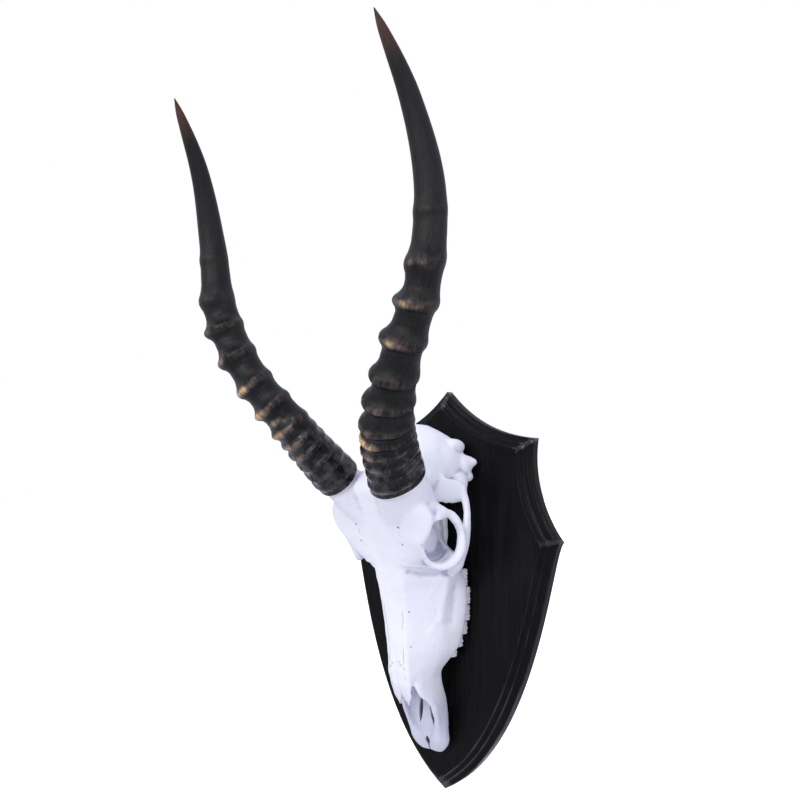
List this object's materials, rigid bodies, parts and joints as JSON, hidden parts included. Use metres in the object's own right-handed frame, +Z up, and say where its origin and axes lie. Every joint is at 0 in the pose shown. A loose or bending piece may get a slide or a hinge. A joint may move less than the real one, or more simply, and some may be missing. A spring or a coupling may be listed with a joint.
{
  "type": "blesbok skull on a wall plaque",
  "caption": "Bleached blesbok skull with ringed horns, fixed nose down on a black wooden shield plaque for hanging on a wall.",
  "frame": {"origin": "on the plaque's flat back face, in the middle plane, halfway between the plaque's top peak and bottom point", "axes": "+Z up the wall, +Y into the wall, -Y out towards the viewer, +X to the viewer's right, which is the animal's left side"},
  "size_m": [0.2666, 0.2562, 0.6189],
  "materials": {
    "bone": "bleached bone: satin, very smooth on the forehead, fine sutures and pits",
    "teeth": "bleached tooth enamel, satin",
    "horn": "black keratin, semi-gloss, fine lengthwise grain, worn brown on the ring crests and tips",
    "stained_wood": "black stain and satin varnish over a long open grain",
    "screw_steel": "zinc plated"
  },
  "bodies": {
    "root": {"skull": "bone", "horn_left": "horn", "horn_right": "horn", "shield_plaque": "stained_wood", "mounting_screw": "screw_steel", "premolar_2_left": "teeth", "premolar_3_left": "teeth", "premolar_4_left": "teeth", "molar_1_left": "teeth", "molar_2_left": "teeth", "molar_3_left": "teeth", "premolar_2_right": "teeth", "premolar_3_right": "teeth", "premolar_4_right": "teeth", "molar_1_right": "teeth", "molar_2_right": "teeth", "molar_3_right": "teeth"}
  },
  "joints": []
}
